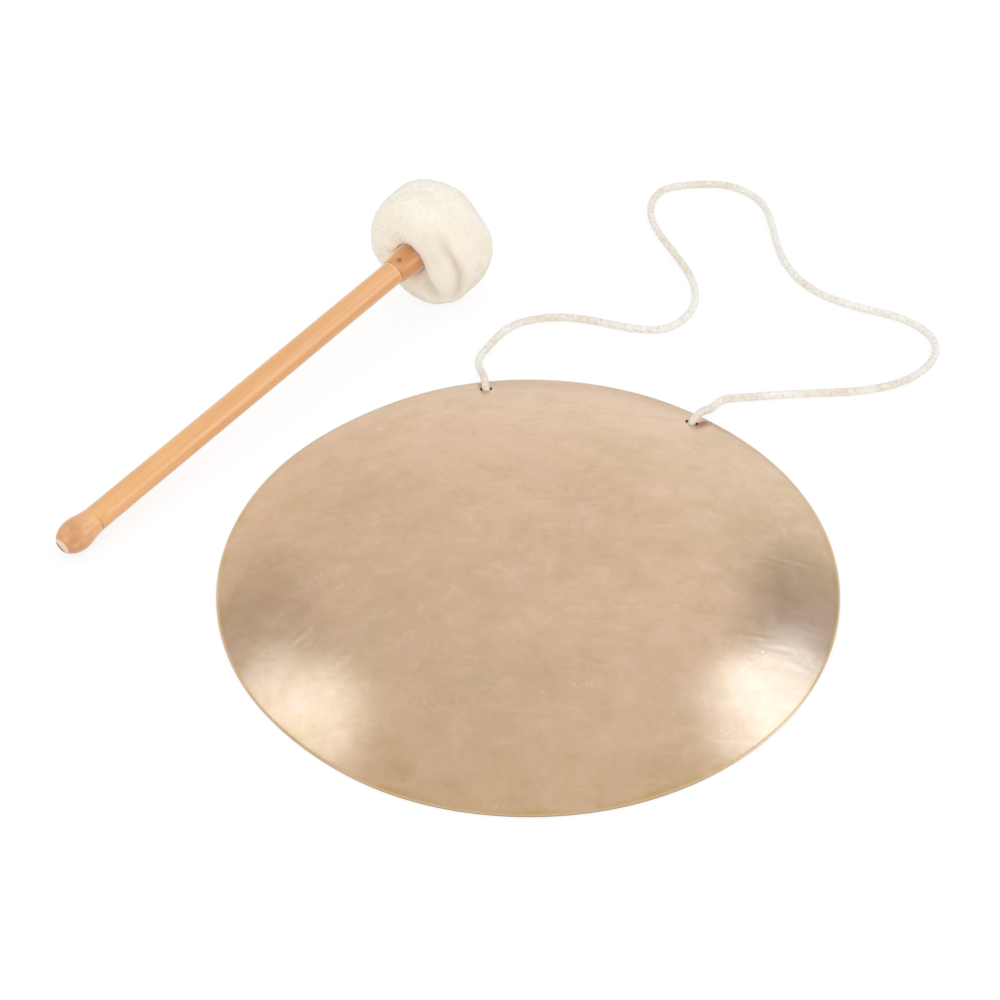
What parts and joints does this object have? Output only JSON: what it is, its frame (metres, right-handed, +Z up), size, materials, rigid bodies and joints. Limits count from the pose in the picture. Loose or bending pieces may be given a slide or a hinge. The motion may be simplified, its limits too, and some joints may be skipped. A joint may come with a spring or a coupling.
{
  "type": "gong",
  "caption": "Domed bronze wind gong with a cotton hanging cord knotted through the rim, and a turned wooden beater with a fleece head.",
  "frame": {"origin": "on the surface that the parts lie on, in the middle of the rectangle that the gong and the beater cover together", "axes": "+Z up, out of the gong's face; +Y from the gong's middle towards the edge with the two cord holes, which is up when the gong hangs; +X to the right"},
  "size_m": [0.4078, 0.5166, 0.0692],
  "materials": {
    "bronze": "hand-rubbed bronze with haze, blotches and fine scratches",
    "cotton_cord": "braided cotton",
    "pine": "varnished, with fine grain along the handle",
    "stained_pine": "stained darker and varnished",
    "pin_steel": "dull, darkened",
    "plain_wood": "bare turned wood",
    "felt": "pressed felt",
    "fleece": "short dense fleece",
    "thread": "waxed cotton thread"
  },
  "bodies": {
    "gong": {"gong_disc": "bronze", "cord_loop": "cotton_cord", "stopper_knot_left": "cotton_cord", "stopper_knot_right": "cotton_cord"},
    "mallet": {"mallet_handle": "pine", "mallet_collar": "stained_pine", "collar_pin": "pin_steel", "head_core": "plain_wood", "head_padding": "felt", "head_cover": "fleece", "cover_thread": "thread"}
  },
  "joints": [
    {"name": "mallet_lift", "type": "slide", "parent": "gong", "child": "mallet", "axis": [0, 0, 1], "range_m": [0, 0.25]}
  ]
}
